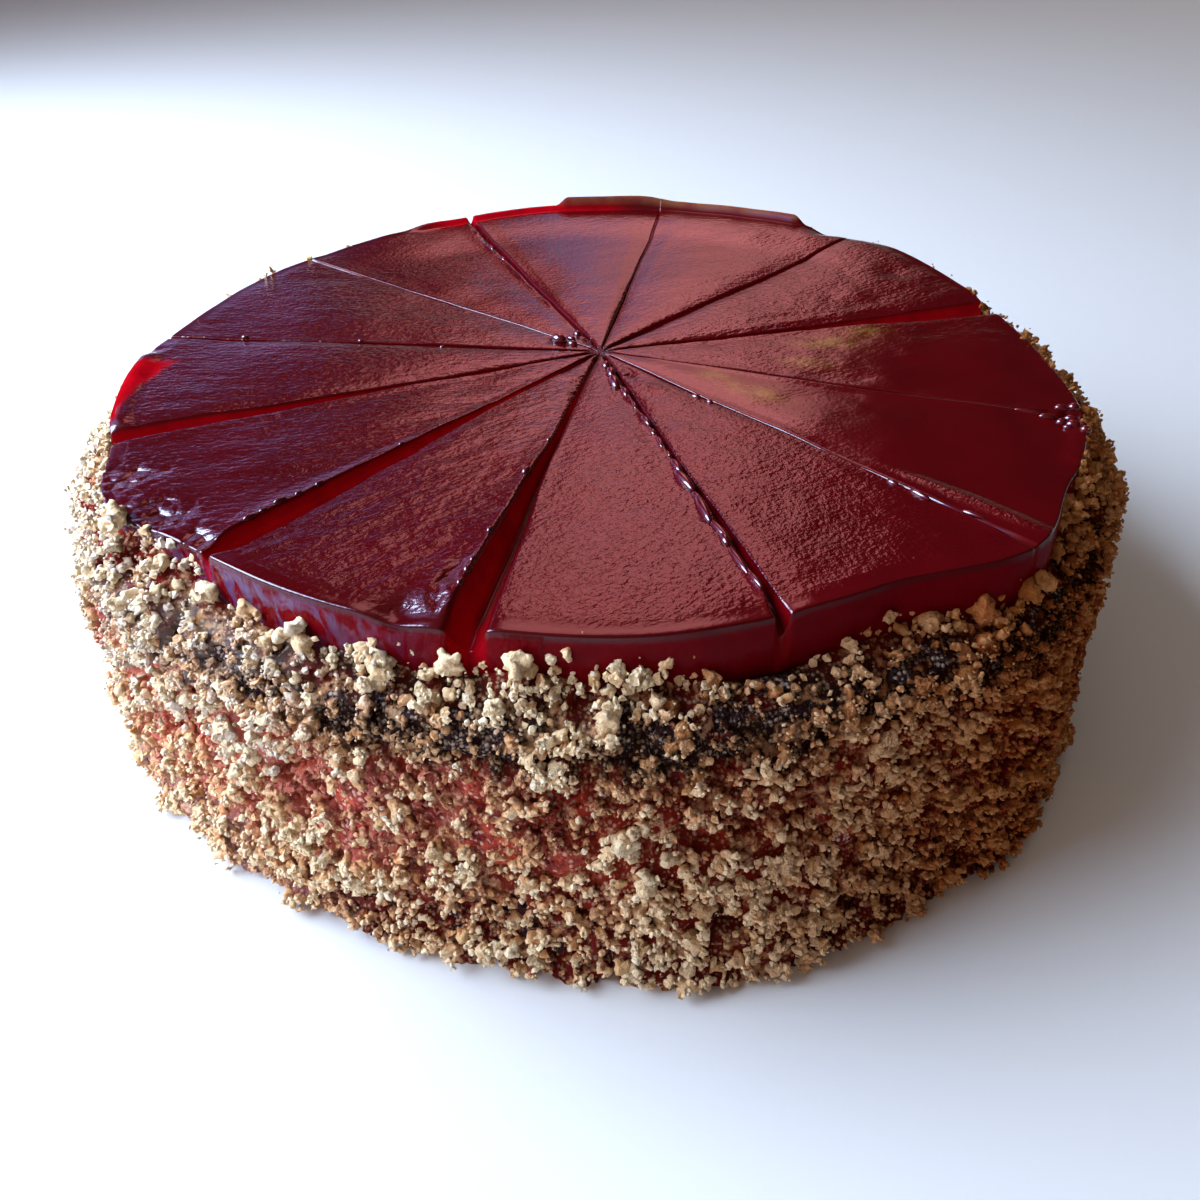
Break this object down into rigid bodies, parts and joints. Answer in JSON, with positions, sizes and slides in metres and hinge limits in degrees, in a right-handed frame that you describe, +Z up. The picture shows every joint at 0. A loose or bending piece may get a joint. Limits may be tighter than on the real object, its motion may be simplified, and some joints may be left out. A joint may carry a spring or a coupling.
{
  "type": "raspberry cheesecake",
  "caption": "Whole round raspberry cheesecake with a glossy jelly top scored for slices, layered inside, its side coated in coarse biscuit crumbs.",
  "frame": {"origin": "middle of the underside, on the surface that the cake stands on", "axes": "+Z up through the top; -Y towards the front, the side with the wide cut that runs over the rim; +X to the right seen from the front"},
  "size_m": [0.2545, 0.2654, 0.08],
  "materials": {
    "raspberry_jelly": "deep red translucent set jelly, wet gloss with a fine brushed grain",
    "chocolate_sponge": "near-black open-textured sponge",
    "raspberry_cheese": "moist pink-red set cream with raspberry streaks",
    "dark_biscuit_base": "dense dark purple-brown base stained with raspberry",
    "biscuit_crumbs": "dry pale straw crumbs, some toasted golden, rough broken faces"
  },
  "bodies": {
    "root": {"jelly_top": "raspberry_jelly", "dark_sponge": "chocolate_sponge", "raspberry_filling": "raspberry_cheese", "dark_base": "dark_biscuit_base", "crumb_coat": "biscuit_crumbs"}
  },
  "joints": []
}
